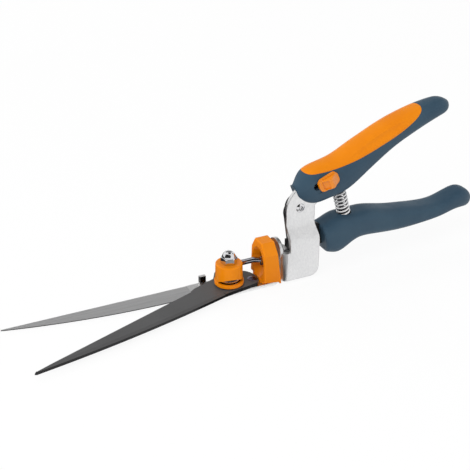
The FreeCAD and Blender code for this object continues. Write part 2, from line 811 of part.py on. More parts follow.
def make_swivel_nut():
    along = Vector(1, 0, 0)
    centre = Vector(0, 0, swivel_height)
    back = swivel_nut_front + swivel_nut_height
    nut = hexagon(swivel_nut_flats, swivel_nut_front, back, Vector(0, 1, 0), centre, along)
    corner = swivel_nut_flats / math.sqrt(3)
    trim = [(0, swivel_nut_front), (corner - nut_chamfer, swivel_nut_front),
            (corner, swivel_nut_front + nut_chamfer), (corner, back - nut_chamfer),
            (corner - nut_chamfer, back), (0, back)]
    nut = nut.common(spun(trim, centre, Vector(0, 1, 0), along))
    return nut.cut(lengthwise(bush_radius, swivel_nut_front - cut_over, back + cut_over))


def make_pull_shaft():
    """Round shaft that slides in the bush, slotted in front for the link's eye."""
    back = shaft_nut_front + shaft_nut_height
    shaft = lengthwise(shaft_radius, shaft_pin_place, shaft_shoulder)
    nose = lengthwise(shaft_radius, shaft_pin_place - shaft_radius, shaft_pin_place)
    nose = nose.common(upright(shaft_radius, swivel_height - shaft_radius, swivel_height + shaft_radius,
                               shaft_pin_place))
    shaft = shaft.fuse(nose).fuse(lengthwise(shaft_neck_radius, shaft_shoulder, back))
    half_slot = link_eye_thickness / 2 + link_side_clearance
    slot_end = shaft_pin_place + link_eye_radius + link_side_clearance * 4
    over = shaft_radius + cut_over
    slot = block((shaft_pin_place - over, -over, swivel_height - half_slot),
                 (slot_end, over, swivel_height + half_slot))
    pin = upright(link_pin_radius, swivel_height - over, swivel_height + over, shaft_pin_place)
    return shaft.cut(slot).cut(pin).removeSplitter()


def make_link_pin():
    half = shaft_radius * 0.93
    return upright(link_pin_radius, swivel_height - half, swivel_height + half, shaft_pin_place)


def make_shaft_nut():
    along = Vector(1, 0, 0)
    back = shaft_nut_front + shaft_nut_height
    centre = Vector(0, 0, swivel_height)
    nut = hexagon(shaft_nut_flats, shaft_nut_front, back, Vector(0, 1, 0), centre, along)
    return nut.cut(lengthwise(shaft_neck_radius, shaft_nut_front - cut_over, back + cut_over))


def make_link_rod():
    """Bent bar from the shaft's pin down to the upper blade's crank hole."""
    direction = Vector(crank_x - shaft_pin_place, crank_y, 0).normalize()
    pin = Vector(shaft_pin_place, 0, swivel_height)
    level_end = pin + direction * (link_eye_radius + link_level)
    over_crank = Vector(crank_x, crank_y, link_low_height)
    foot = Vector(crank_x, crank_y, upper_bottom)
    bar = bent_rod([pin + direction * (link_eye_radius - link_radius), level_end, over_crank, foot],
                   link_radius, link_bend_radius)
    half = link_eye_thickness / 2
    eye = upright(link_eye_radius, swivel_height - half, swivel_height + half, shaft_pin_place)
    flat = block((crank_x - cut_over, -link_eye_radius * 2, swivel_height - half),
                 (shaft_pin_place + link_eye_radius, crank_y + link_eye_radius, swivel_height + half))
    near_pin = upright(shaft_radius + link_side_clearance * 6, swivel_height - link_radius - cut_over,
                       swivel_height + link_radius + cut_over, shaft_pin_place)
    blade_end = bar.common(near_pin).common(flat)
    bar = bar.cut(near_pin).fuse(blade_end).fuse(eye)
    hole = upright(link_pin_radius + running_fit, swivel_height - half - cut_over,
                   swivel_height + half + cut_over, shaft_pin_place)
    return bar.cut(hole).removeSplitter()


def make_link_clip():
    bottom = upper_top + blade_gap
    ring = upright(link_clip_radius, bottom, bottom + link_clip_thickness, crank_x, crank_y)
    return ring.cut(upright(link_radius, bottom - cut_over, bottom + link_clip_thickness + cut_over,
                            crank_x, crank_y))


def grip_point(along, rise, side=0):
    """A point given in the top handle's own directions."""
    return grip_placement.multVec(Vector(along, side, rise))


def bracket_side_outline():
    """The plate's outline seen from the side, with its tongue inside the top handle."""
    front = bracket_front + bracket_bend_radius - bracket_waist
    rear = bracket_rear
    corner = bracket_corner_radius
    quarter = math.sqrt(0.5)
    notch = swivel_height + bracket_notch_rise
    neck_front = bracket_front + bracket_neck_front
    neck_rear = bracket_front + bracket_neck_rear
    low_front = Vector(front, 0, bracket_bottom)
    low_back = Vector(rear - corner, 0, bracket_bottom)
    low_bend = Vector(rear - corner + corner * quarter, 0, bracket_bottom + corner - corner * quarter)
    rear_low = Vector(rear, 0, bracket_bottom + corner)
    rear_high = Vector(rear, 0, swivel_height + joggle_start)
    neck_low = Vector(neck_rear, 0, swivel_height + joggle_end)
    neck_high = Vector(neck_rear, 0, lever_pivot_height)
    tongue_low = grip_point(lock_rest + lock_travel, -top_grip_height * 0.3)
    tongue_end_low = grip_point(top_tang_length, -top_grip_height * 0.17)
    tongue_end_high = grip_point(top_tang_length, top_grip_height * 0.03)
    tongue_high = grip_point(lever_head_radius, top_grip_height * 0.1)
    nose = grip_point(top_grip_length * 0.03, top_grip_height * 0.06)
    brow = Vector(neck_front + bracket_waist, 0, lever_pivot_height + bracket_waist * 5)
    waist = Vector(neck_front, 0, lever_pivot_height - bracket_waist * 5)
    notch_corner = Vector(neck_front, 0, notch)
    front_high = Vector(front, 0, notch)
    return [
        line(low_front, low_back), arc(low_back, low_bend, rear_low), line(rear_low, rear_high),
        line(rear_high, neck_low), line(neck_low, neck_high), line(neck_high, tongue_low),
        line(tongue_low, tongue_end_low), line(tongue_end_low, tongue_end_high),
        line(tongue_end_high, tongue_high), line(tongue_high, nose),
        arc(nose, brow, waist), line(waist, notch_corner), line(notch_corner, front_high),
        line(front_high, low_front),
    ]


def joggled_sheet():
    """The sheet seen from the front: upright, stepped inward and upright again."""
    start = bracket_front
    reach = Vector(top_grip_length + bracket_depth, 0, 0)
    slope = (joggle_end - joggle_start) / joggle_shift
    shift = plate_thickness * (math.sqrt(1 + slope ** 2) - slope)
    outer = -bracket_half_width
    low = swivel_height + joggle_start
    high = swivel_height + joggle_end
    top = grip_point(top_tang_length, top_grip_height).z
    points = [
        Vector(start, outer, bracket_bottom - cut_over), Vector(start, outer, low),
        Vector(start, outer + joggle_shift, high), Vector(start, outer + joggle_shift, top),
        Vector(start, outer + joggle_shift + plate_thickness, top),
        Vector(start, outer + joggle_shift + plate_thickness, high - shift),
        Vector(start, outer + plate_thickness, low - shift),
        Vector(start, outer + plate_thickness, bracket_bottom - cut_over),
    ]
    sheet = polygon_prism(points, reach)
    bends = [edge for edge in sheet.Edges if abs(edge.Length - reach.x) < seat_fit
             and bracket_bottom < edge.CenterOfMass.z < top - cut_over]
    return sheet.makeFillet(joggle_round, bends)


def bracket_front_flange():
    """Front flange with its arch, bent round into the near side plate."""
    outer = bracket_bend_radius
    inner = outer - plate_thickness
    quarter = math.sqrt(0.5)
    centre_x = bracket_front + outer
    centre_y = -bracket_half_width + outer
    side_end = bracket_front + outer + plate_thickness
    z = bracket_bottom

    def corner(radius):
        return Vector(centre_x - radius * quarter, centre_y - radius * quarter, z)

    far_front = Vector(bracket_front, bracket_arch_radius, z)
    bend_front = Vector(bracket_front, centre_y, z)
    bend_side = Vector(centre_x, -bracket_half_width, z)
    side_near = Vector(side_end, -bracket_half_width, z)
    side_far = Vector(side_end, -bracket_half_width + plate_thickness, z)
    bend_side_in = Vector(centre_x, -bracket_half_width + plate_thickness, z)
    bend_front_in = Vector(bracket_flange_back, centre_y, z)
    far_back = Vector(bracket_flange_back, bracket_arch_radius, z)
    edges = [
        line(far_front, bend_front), arc(bend_front, corner(outer), bend_side), line(bend_side, side_near),
        line(side_near, side_far), line(side_far, bend_side_in),
        arc(bend_side_in, corner(inner), bend_front_in), line(bend_front_in, far_back),
        line(far_back, far_front),
    ]
    notch = swivel_height + bracket_notch_rise
    low_part = prism(edges, Vector(0, 0, notch - bracket_bottom))
    arch_centre = swivel_height + bracket_arch_rise - bracket_arch_radius
    arch = lengthwise(bracket_arch_radius, bracket_front, bracket_flange_back, 0, arch_centre)
    hole = lengthwise(bush_radius, bracket_front - cut_over, bracket_flange_back + cut_over)
    return low_part.fuse(arch).cut(hole)


def oblong(radius, side_low, side_high):
    """The lock's oblong slot through one wall, in the top handle's own directions."""
    ends = [crosswise(radius, side_low, side_high, along, lock_height)
            for along in (lock_rest - lock_travel, lock_rest)]
    bridge = block((lock_rest - lock_travel, side_low, lock_height - radius),
                   (lock_rest, side_high, lock_height + radius))
    return ends[0].fuse(bridge).fuse(ends[1]).removeSplitter()


def make_bracket():
    side = prism(bracket_side_outline(), Vector(0, bracket_half_width * 2, 0))
    side.translate(Vector(0, -bracket_half_width - cut_over, 0))
    plate = joggled_sheet().common(side)
    plate = plate.fuse(bracket_front_flange())
    plate = plate.cut(crosswise(lever_rivet_radius, neck_outer_side - cut_over, neck_inner_side + cut_over,
                                lever_pivot_back, lever_pivot_height))
    radius = latch_pin_radius + latch_clearance * 2
    slot = oblong(radius, neck_outer_side - cut_over, neck_inner_side + cut_over)
    slot.Placement = grip_placement
    plate = plate.cut(slot)
    for place in handle_rivet_places():
        plate = plate.cut(crosswise(handle_rivet_radius, neck_outer_side - cut_over,
                                    neck_inner_side + cut_over, place.x, place.z))
    return plate.removeSplitter()


def make_lever():
    """Lever of the lower handle: round head, fork for the shaft and tang."""
    thick = Vector(0, lever_thickness, 0)
    near = lever_near_side
    pivot_z = lever_pivot_height
    centre = swivel_height + low_grip_height * 0.34

    def at(x, z):
        return Vector(x, near, z)

    outline = [
        at(lever_pivot_back - lever_cheek_radius, pivot_z - lever_cheek_drop),
        at(fork_back - fork_neck_half, swivel_height + fork_height),
        at(fork_back + fork_neck_half, swivel_height + fork_height),
        at(bracket_rear, centre - tang_root_half), at(tang_waist_back, centre - tang_end_half),
        at(tang_end, centre - tang_end_half), at(tang_end + tang_end_half, centre),
        at(tang_end, centre + tang_end_half),
        at(bracket_rear + tang_root_half, centre + tang_root_half * 0.6),
        at(bracket_rear, centre + tang_root_half * 1.2),
        at(lever_pivot_back + lever_head_radius, pivot_z),
    ]
    lever = polygon_prism(outline, thick)
    far = near + lever_thickness
    lever = lever.fuse(crosswise(lever_head_radius, near, far, lever_pivot_back, pivot_z))
    cheek_z = pivot_z - lever_cheek_drop
    lever = lever.fuse(crosswise(lever_cheek_radius, near, far, lever_pivot_back, cheek_z))
    lever = lever.fuse(lever_catch()).fuse(lever_fork())
    slot_half = shaft_neck_radius + fork_slot_clearance
    slot_top = swivel_height + fork_slot_rise
    slot = block((fork_back - fork_radius - cut_over, -slot_half, swivel_height - fork_radius - cut_over),
                 (fork_back + fork_radius + cut_over, slot_half, slot_top))
    lever = lever.cut(slot)
    holes = [(lever_rivet_radius + running_fit, lever_pivot_back, pivot_z)]
    holes += [(low_pin_radius, place.x, place.z) for place in low_pin_places()]
    for radius, x, z in holes:
        lever = lever.cut(crosswise(radius, near - cut_over, far + cut_over, x, z))
    return lever.removeSplitter()


def lever_fork():
    """Rounded fork end that straddles the shaft's neck."""
    fork = crosswise(fork_radius, -fork_half_width, fork_half_width, fork_back, swivel_height)
    root = block((fork_back - fork_neck_half, -fork_half_width, swivel_height),
                 (fork_back + fork_neck_half, fork_half_width, swivel_height + fork_height))
    return fork.fuse(root)


def lever_catch():
    """Ear on the lever's head, beside the latch pin's path."""
    pivot = Vector(0, 0, 0)
    ear = ring_sector(lever_head_radius - cut_over, lever_head_radius + catch_reach, catch_start_angle,
                      catch_end_angle, 0, lever_thickness, pivot)
    ear.rotate(pivot, Vector(1, 0, 0), 90)
    ear.translate(Vector(lever_pivot_back, lever_far_side, lever_pivot_height))
    return ear


def make_lever_rivet():
    """Pivot rivet with a domed head on the near side and an upset end on the far side."""
    near = neck_outer_side
    far = lever_far_side + lever_washer_thickness
    rivet = crosswise(lever_rivet_radius, near, far, lever_pivot_back, lever_pivot_height)
    radius = lever_rivet_head_radius
    rise = lever_rivet_head_rise
    ball_radius = (radius ** 2 + rise ** 2) / (2 * rise)
    ball_centre = Vector(lever_pivot_back, near - rise + ball_radius, lever_pivot_height)
    near_ball = Part.makeSphere(ball_radius, ball_centre)
    near_head = near_ball.common(crosswise(radius, near - rise - cut_over, near, lever_pivot_back,
                                           lever_pivot_height))
    far_head = crosswise(radius, far, far + rise, lever_pivot_back, lever_pivot_height)
    rivet = rivet.fuse(near_head).fuse(far_head)
    crown = Vector(lever_pivot_back, near - rise, lever_pivot_height)
    dish = Part.makeSphere(lever_rivet_dish_radius, crown)
    return rivet.cut(dish).removeSplitter()


def make_lever_washer():
    washer = crosswise(lever_washer_radius, lever_far_side + lever_side_gap / 2,
                       lever_far_side + lever_washer_thickness, lever_pivot_back, lever_pivot_height)
    return washer.cut(crosswise(lever_rivet_radius, lever_far_side - cut_over,
                                lever_far_side + lever_washer_thickness + cut_over,
                                lever_pivot_back, lever_pivot_height))


def handle_rivet_places():
    rise = -top_grip_height * 0.085
    return [grip_point(top_grip_length * share, rise) for share in (0.33, 0.58)]


def top_outer(inset):
    shape = grip_loft(top_grip_shares, top_grip_length, top_grip_height, top_grip_width,
                      top_power_share, inset)
    shape.Placement = grip_placement
    return shape


def inlay_region():
    """The space above the inlay's lower edge, right across the handle."""
    side = -top_grip_width
    points = [Vector(a * top_grip_length, side, r * top_grip_height) for a, r in inlay_edge_shares]
    curve = Part.BSplineCurve()
    curve.interpolate(points)
    lid_front = points[0] + Vector(0, 0, top_grip_height)
    lid_back = points[-1] + Vector(0, 0, top_grip_height)
    edges = [curve.toShape(), line(points[-1], lid_back), line(lid_back, lid_front),
             line(lid_front, points[0])]
    region = prism(edges, Vector(0, top_grip_width * 2, 0))
    region.Placement = grip_placement
    return region


def make_top_grip_inlay():
    inlay = top_outer(0).common(inlay_region()).cut(top_outer(inlay_thickness))
    for side in (-1, 1):
        surface = Vector(scallop_middle, side * scallop_side, scallop_height)
        hollow = long_hollow(surface, scallop_length, scallop_radius, scallop_depth, side, scallop_tilt)
        inlay = inlay.cut(hollow)
    return inlay


def long_hollow(surface, length, radius, depth, side, lean):
    """A long shallow hollow in one flank of the top handle, made by a slender ring's tube."""
    bow = length ** 2 / 8 / depth
    tilt = math.radians(lean)
    outward = Vector(0, side * math.cos(tilt), math.sin(tilt))
    tube_centre = surface + outward * (radius - depth)
    ring = Part.makeTorus(bow, radius, tube_centre + outward * bow, Vector(1, 0, 0).cross(outward))
    ring.Placement = grip_placement.multiply(ring.Placement)
    return ring


def lever_pocket():
    """Room in the top handle for the lever's head, ear and swing."""
    gap = lever_pocket_clearance
    near = neck_inner_side
    far = lever_far_side + lever_washer_thickness + lever_rivet_head_rise + gap
    room = crosswise(lever_head_radius + gap, near, far, lever_pivot_back, lever_pivot_height)
    centre = Vector(0, 0, 0)
    swing = math.degrees(2 * lever_half_travel)
    ear_room = ring_sector(lever_head_radius - cut_over, lever_head_radius + catch_reach + gap,
                           catch_start_angle - ear_room_angle,
                           catch_end_angle + swing + ear_room_angle, 0, far - near, centre)
    ear_room.rotate(centre, Vector(1, 0, 0), 90)
    ear_room.translate(Vector(lever_pivot_back, far, lever_pivot_height))
    reach = lever_head_radius * 1.5
    below = block((lever_pivot_back - reach, near, swivel_height),
                  (lever_pivot_back + reach, far, lever_pivot_height + lever_head_radius * 0.25))
    return room.fuse(ear_room).fuse(below)


def lock_recess():
    """Flat for the lock's grip, with a slot for its stem and room for the latch."""
    middle = lock_rest - lock_travel / 2
    flat = block((middle - lock_flat_length / 2, -top_grip_width, lock_height - lock_flat_height / 2),
                 (middle + lock_flat_length / 2, -lock_flat, lock_height + lock_flat_height / 2))
    corners = [edge for edge in flat.Edges if abs(edge.Length - (top_grip_width - lock_flat)) < seat_fit]
    flat = flat.makeFillet(lock_flat_height * 0.4, corners)
    slot = oblong(lock_slot_width / 2 + lock_stem_clearance, -lock_flat - cut_over, neck_outer_side)
    latch_top = neck_outer_side - latch_thickness - 2 * latch_clearance
    half_room = latch_height / 2 + latch_clearance
    half_way = (latch_length + lock_travel) / 2 + latch_clearance
    room = block((middle - half_way, latch_top, lock_height - half_room),
                 (middle + half_way, neck_outer_side, lock_height + half_room))
    behind = oblong(latch_pin_radius + latch_clearance * 2, neck_inner_side,
                    lever_far_side + lever_washer_thickness)
    cut = flat.fuse(slot).fuse(room).fuse(behind)
    cut.Placement = grip_placement
    surface = Vector(middle - lock_dish_back, -lock_dish_side, lock_height)
    return cut.fuse(long_hollow(surface, lock_dish_length, lock_dish_radius, lock_dish_depth, -1, 0))


def spring_axis():
    upper = Vector(spring_upper_back, 0, swivel_height + spring_upper_rise)
    lower = Vector(spring_lower_back, 0, swivel_height + spring_lower_rise)
    return upper, lower, (upper - lower).normalize()


def seat_pocket(base, outward):
    """Round pocket that opens along the spring's axis."""
    radius = seat_flange_radius + seat_pocket_clearance
    return rod(radius, seat_pocket_reach, base, outward)


def make_spring_seat(base, inward):
    """Flanged post that centres one end of the return spring."""
    flange_base = base - inward * seat_flange_thickness
    seat = rod(seat_flange_radius, seat_flange_thickness, flange_base, inward)
    return seat.fuse(rod(seat_post_radius, seat_post_length, base, inward)).removeSplitter()


def make_top_handle(inlay):
    upper, lower, axis = spring_axis()
    handle = top_outer(0).cut(inlay)
    handle = handle.cut(bracket_tongue_room())
    handle = handle.cut(lever_pocket()).cut(lock_recess())
    handle = handle.cut(seat_pocket(upper + axis * seat_flange_thickness, axis * -1))
    for place in handle_rivet_places():
        handle = handle.cut(handle_rivet(place))
    return largest(handle.removeSplitter())


def bracket_tongue_room():
    """The bracket's own space inside the top handle."""
    side = prism(bracket_side_outline(), Vector(0, plate_thickness, 0))
    side.translate(Vector(0, neck_outer_side, 0))
    return side


def handle_rivet(place):
    """Rivet across the top handle, sunk at both ends."""
    half = top_grip_width * 0.4
    return crosswise(handle_rivet_radius, -half, half, place.x, place.z)


def make_handle_rivets():
    return Part.makeCompound([handle_rivet(place) for place in handle_rivet_places()])


def largest(shape):
    """The main solid, where a cut leaves slivers."""
    return max(shape.Solids, key=lambda solid: solid.Volume)


def make_lower_handle(lever):
    shape = grip_loft(low_grip_shares, low_grip_length, low_grip_height, low_grip_width,
                      low_power_share, 0)
    shape.translate(Vector(low_grip_start, 0, swivel_height))
    top = Vector(low_face_top_back, -low_grip_width, swivel_height + low_face_top_rise)
    low = Vector(low_face_low_back, -low_grip_width, swivel_height + low_face_low_rise)
    along = (low - top).normalize()
    over = low_grip_height
    front = [top - along * over, low + along * over, low + along * over - Vector(over, 0, 0),
             top - along * over - Vector(over, 0, 0)]
    shape = shape.cut(polygon_prism(front, Vector(0, 2 * low_grip_width, 0)))
    face = min(shape.Faces, key=lambda each: each.CenterOfMass.x)
    shape = shape.makeFillet(low_face_round, face.Edges)
    upper, lower, axis = spring_axis()
    shape = shape.cut(lever)
    shape = shape.cut(seat_pocket(lower - axis * seat_flange_thickness, axis))
    for place in low_pin_places():
        shape = shape.cut(low_pin(place))
    return largest(shape.removeSplitter())


def low_pin_places():
    rise = swivel_height + low_grip_height * 0.32
    return [Vector(low_grip_start + low_grip_length * share, 0, rise) for share in (0.33, 0.53)]


def low_pin(place):
    half = low_grip_width * 0.4
    return crosswise(low_pin_radius, -half, half, place.x, place.z)


def make_low_pins():
    return Part.makeCompound([low_pin(place) for place in low_pin_places()])


def spring_frames():
    """Points and tangents of the spring's wire at each quarter turn."""
    upper, lower, axis = spring_axis()
    length = (upper - lower).Length - 2 * spring_wire_radius
    side = Vector(0, 1, 0)
    other = axis.cross(side)
    start = lower + axis * spring_wire_radius
    quarters = int(spring_turns * 4)
    frames = []
    for index in range(quarters + 1):
        share = index / quarters
        angle = math.pi / 2 * index
        wave = 2 * math.pi * share
        height = length * (share - spring_end_closing * math.sin(wave) / (2 * math.pi))
        climb = length * (1 - spring_end_closing * math.cos(wave)) / (quarters * math.pi / 2)
        radial = side * math.cos(angle) + other * math.sin(angle)
        sweep = other * math.cos(angle) - side * math.sin(angle)
        point = start + axis * height + radial * spring_mean_radius
        tangent = (sweep * spring_mean_radius + axis * climb).normalize()
        frames.append((point, tangent))
    return frames


def arc_from(start, tangent, end):
    """An arc that leaves a point along a tangent and ends at another point."""
    chord = end - start
    along = Vector(chord).normalize()
    half = tangent.getAngle(chord) / 2
    outward = tangent - along * tangent.dot(along)
    middle = start + chord * 0.5 + outward.normalize() * (chord.Length / 2 * math.tan(half))
    return arc(start, middle, end)


def biarc(first, second):
    """Two tangent arcs between two points with given tangents."""
    a, ta = first
    b, tb = second
    gap = b - a
    both = ta + tb
    spread = 2 * (1 - ta.dot(tb))
    reach = (-gap.dot(both) + math.sqrt(gap.dot(both) ** 2 + spread * gap.dot(gap))) / spread
    joint = (a + ta * reach + b - tb * reach) * 0.5
    joint_tangent = ((b - tb * reach) - (a + ta * reach)).normalize()
    return [arc_from(a, ta, joint), arc_from(joint, joint_tangent, b)]


def make_return_spring():
    frames = spring_frames()
    edges = []
    for first, second in zip(frames, frames[1:]):
        edges += biarc(first, second)
    path = Part.Wire(edges)
    point, tangent = frames[0]
    section = Part.Wire(Part.Circle(point, tangent, spring_wire_radius).toShape())
    print_spring_gap(path)
    return path.makePipeShell([section], True, False)


def print_spring_gap(path):
    """Least gap between one turn of the wire and the next."""
    points = path.discretize(int(spring_turns * 48))
    turn = 36
    least = min(a.distanceToPoint(b) for i, a in enumerate(points) for b in points[i + turn:])
    print("least gap of the spring to itself", round(least - 2 * spring_wire_radius, 3))


def make_lock_slider():
    """Thumb piece with a wedge ridge and a sunk panel, and its stem through the slot."""
    seat = -lock_flat - latch_clearance
    half_length = lock_grip_length / 2
    half_height = lock_grip_height / 2
    top = seat - lock_grip_rise
    base = block((lock_rest - half_length, top, lock_height - half_height),
                 (lock_rest + half_length, seat, lock_height + half_height))
    corners = [edge for edge in base.Edges if abs(edge.Length - lock_grip_rise) < seat_fit]
    base = base.makeFillet(half_height - lock_ridge_width, corners)
    ridge = top - lock_ridge_rise
    peak = lock_rest + lock_ridge_place
    side = half_height - lock_ridge_width / 2
    start = Vector(lock_rest - lock_slope_end, top + lock_grip_rise / 2, lock_height - side)
    wedge = [start, Vector(start.x, top, start.z), Vector(peak - lock_ridge_width, ridge, start.z),
             Vector(peak, ridge, start.z), Vector(lock_rest + lock_slope_end, top, start.z),
             Vector(lock_rest + lock_slope_end, start.y, start.z)]
    grip = polygon_prism(wedge, Vector(0, 0, 2 * side))
    brink = [edge for edge in grip.Edges if edge.CenterOfMass.y < top - seat_fit]
    grip = grip.makeFillet(lock_ridge_width / 2, brink)
    body = base.fuse(grip)
    slope = (wedge[2] - wedge[1]).normalize()
    middle = wedge[1] + (wedge[2] - wedge[1]) * 0.5 + Vector(0, 0, side)
    inward = Vector(0, 0, 1).cross(slope)
    low = middle - slope * (lock_panel_length / 2) - Vector(0, 0, lock_panel_height / 2)
    panel = [low - inward * cut_over, low + slope * lock_panel_length - inward * cut_over,
             low + slope * lock_panel_length + inward * lock_panel_depth, low + inward * lock_panel_depth]
    body = body.cut(polygon_prism(panel, Vector(0, 0, lock_panel_height)))
    stem = crosswise(lock_slot_width / 2, seat, latch_outer_side(), lock_rest, lock_height)
    body = body.fuse(stem).removeSplitter()
    body.Placement = grip_placement
    return body


def latch_outer_side():
    return neck_outer_side - latch_thickness - latch_clearance


def make_lock_latch():
    """Steel latch behind the wall, with the pin that crosses the lever's plane."""
    outer = latch_outer_side()
    plate = block((lock_rest - latch_length / 2, outer, lock_height - latch_height / 2),
                  (lock_rest + latch_length / 2, outer + latch_thickness, lock_height + latch_height / 2))
    pin = crosswise(latch_pin_radius, outer, lever_far_side, lock_rest, lock_height)
    latch = plate.fuse(pin).removeSplitter()
    latch.Placement = grip_placement
    return latch


def save(node, shape):
    shape.exportStep("parts/" + node + ".step")
    print(node, len(shape.Solids), round(shape.Volume, 1), shape.isValid())


def main():
    os.makedirs("parts", exist_ok=True)
    upper_seat, lower_seat, axis = spring_axis()
    inlay = make_top_grip_inlay()
    lever = make_lever()
    save("lower_blade", make_lower_blade())
    save("upper_blade", make_upper_blade())
    save("tail_rivet", make_tail_rivet())
    save("blade_bolt", make_blade_bolt())
    save("blade_washer", make_blade_washer())
    save("blade_sleeve", make_blade_sleeve())
    save("tension_discs", make_tension_discs())
    save("acorn_nut", make_acorn_nut())
    save("head_collar", make_head_collar())
    save("collar_screws", make_collar_screws())
    save("swivel_bush", make_swivel_bush())
    save("swivel_washer", make_swivel_washer())
    save("lock_washer", make_lock_washer())
    save("swivel_nut", make_swivel_nut())
    save("pull_shaft", make_pull_shaft())
    save("link_pin", make_link_pin())
    save("shaft_nut", make_shaft_nut())
    save("link_rod", make_link_rod())
    save("link_clip", make_link_clip())
    save("bracket", make_bracket())
    save("lever", lever)
    save("lever_rivet", make_lever_rivet())
    save("lever_washer", make_lever_washer())
    save("top_handle", make_top_handle(inlay))
    save("top_grip_inlay", inlay)
    save("handle_rivets", make_handle_rivets())
    save("lower_handle", make_lower_handle(lever))
    save("lower_handle_pins", make_low_pins())
    save("return_spring", make_return_spring())
    save("spring_seat_upper", make_spring_seat(upper_seat, axis * -1))
    save("spring_seat_lower", make_spring_seat(lower_seat, axis))
    save("lock_slider", make_lock_slider())
    save("lock_latch", make_lock_latch())
    print("shaft travel", round(shaft_travel, 4))
    print("lever travel", round(math.degrees(2 * lever_half_travel), 4))
    print("link swing", round(link_open_angle - link_closed_angle, 4))


main()
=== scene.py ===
import math

import bpy
from mathutils import Matrix, Vector


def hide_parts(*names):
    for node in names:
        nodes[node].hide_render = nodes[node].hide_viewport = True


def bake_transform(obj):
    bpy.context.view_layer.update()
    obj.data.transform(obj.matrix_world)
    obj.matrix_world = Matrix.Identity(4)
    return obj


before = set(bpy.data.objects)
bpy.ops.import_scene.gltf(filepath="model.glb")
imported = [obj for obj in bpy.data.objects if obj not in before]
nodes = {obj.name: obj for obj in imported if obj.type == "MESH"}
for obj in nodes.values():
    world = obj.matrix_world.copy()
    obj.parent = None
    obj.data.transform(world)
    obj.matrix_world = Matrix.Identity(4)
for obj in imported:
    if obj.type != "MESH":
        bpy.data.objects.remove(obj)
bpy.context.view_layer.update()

MM = 0.001

# Return spring, between its two seats
SPRING_UPPER = Vector((83.6, 0.0, 61.2)) * MM
SPRING_LOWER = Vector((89.6, 0.0, 39.6)) * MM
SPRING_RADIUS = 4.2 * MM
SPRING_WIRE_RADIUS = 0.8 * MM
SPRING_WIRE_SIDES = 16
SPRING_TURNS = 7.5
SPRING_STEPS_PER_TURN = 40
SPRING_CLOSED_SHARE = 0.10
SPRING_CLOSED_PITCH_SHARE = 0.75

# Distances from the spring's axis between which its wire turns from painted shade to painted highlight
SPRING_DARK_RADIUS = SPRING_RADIUS - 0.2 * MM
SPRING_BRIGHT_RADIUS = SPRING_RADIUS + 0.1 * MM

# Lower blade: where its ground flat begins, and how far back its near edges carry painted shade
GRIND_LINE = -26.5 * MM
PAINTED_SHADE_END = -9.0 * MM
BLADE_LINE_BLUR = 0.3 * MM

# Radii to which the finishes soften the edges of the pieces
FASTENER_EDGE = 0.15 * MM
BLADE_EDGE = 0.2 * MM
SMALL_PART_EDGE = 0.2 * MM
LEVER_EDGE = 0.3 * MM
SLIDER_EDGE = 0.4 * MM
INLAY_EDGE = 0.4 * MM
HEAD_EDGE = 0.5 * MM
HANDLE_EDGE = 0.6 * MM
BRACKET_EDGE = 1.0 * MM

# Depths of the grain in plastic, of the marks on metal and of the specks in a coating
HEAD_GRAIN = 0.02 * MM
SLIDER_GRAIN = 0.01 * MM
INLAY_GRAIN = 0.03 * MM
HANDLE_GRAIN = 0.035 * MM
SMALL_PART_GRAIN = 0.02 * MM
GROUND_LINES = 0.012 * MM
BRACKET_LINES = 0.006 * MM
RIVET_LINES = 0.01 * MM
POLISHED_MARKS = 0.01 * MM
WIRE_MARKS = 0.008 * MM
COATING_SPECKS = 0.02 * MM

# Rays that the edges are softened with, and how strongly the mottle of brushed metal shows
EDGE_SAMPLES = 6
MOTTLE_SHARE = 0.35

# Shares of a polished finish's roughness between which it varies
SMOOTHEST_SHARE = 0.6
ROUGHEST_SHARE = 1.6

# Stretches of the textures along X, Y and Z, in features per metre where the noise has scale 1
EVEN = (1.0, 1.0, 1.0)
FINE_BLADE_LINES = (22.0, 2400.0, 2400.0)
BROAD_BLADE_LINES = (9.0, 420.0, 420.0)
NECK_LINES = (700.0, 700.0, 90.0)
COATING_LINES = (60.0, 700.0, 700.0)
BRACKET_STRETCH = (900.0, 900.0, 500.0)
RIVET_STRETCH = (900.0, 900.0, 900.0)

# Colours in linear light
ORANGE = (0.82, 0.245, 0.001, 1.0)
ORANGE_DEEP = (0.76, 0.210, 0.001, 1.0)
SLATE = (0.040, 0.080, 0.118, 1.0)
SLATE_DARK = (0.032, 0.066, 0.102, 1.0)
BLADE = (0.86, 0.86, 0.86, 1.0)
BLADE_DARK = (0.62, 0.62, 0.63, 1.0)
BLADE_STREAK = (0.68, 0.68, 0.68, 1.0)
PLATE = (0.97, 0.97, 0.97, 1.0)
PLATE_DARK = (0.90, 0.90, 0.90, 1.0)
# Painted shade on the edges of the lower blade's near side
BLADE_PAINTED_SHADE = (0.02, 0.02, 0.02, 1.0)
COATING = (0.076, 0.076, 0.077, 1.0)
COATING_WORN = (0.094, 0.094, 0.096, 1.0)
# Painted shade: the near-black of a coating's sides that don't look along its lit axis
COATING_PAINTED_SHADE = (0.010, 0.010, 0.011, 1.0)
LEVER_COATING = (0.026, 0.032, 0.040, 1.0)
LEVER_WORN = (0.038, 0.044, 0.054, 1.0)
NICKEL = (0.84, 0.84, 0.84, 1.0)
NICKEL_DARK = (0.74, 0.74, 0.75, 1.0)
MOTTLE = (0.8, 0.8, 0.8, 1.0)
CHROME = (0.80, 0.80, 0.81, 1.0)
CHROME_DARK = (0.62, 0.62, 0.64, 1.0)
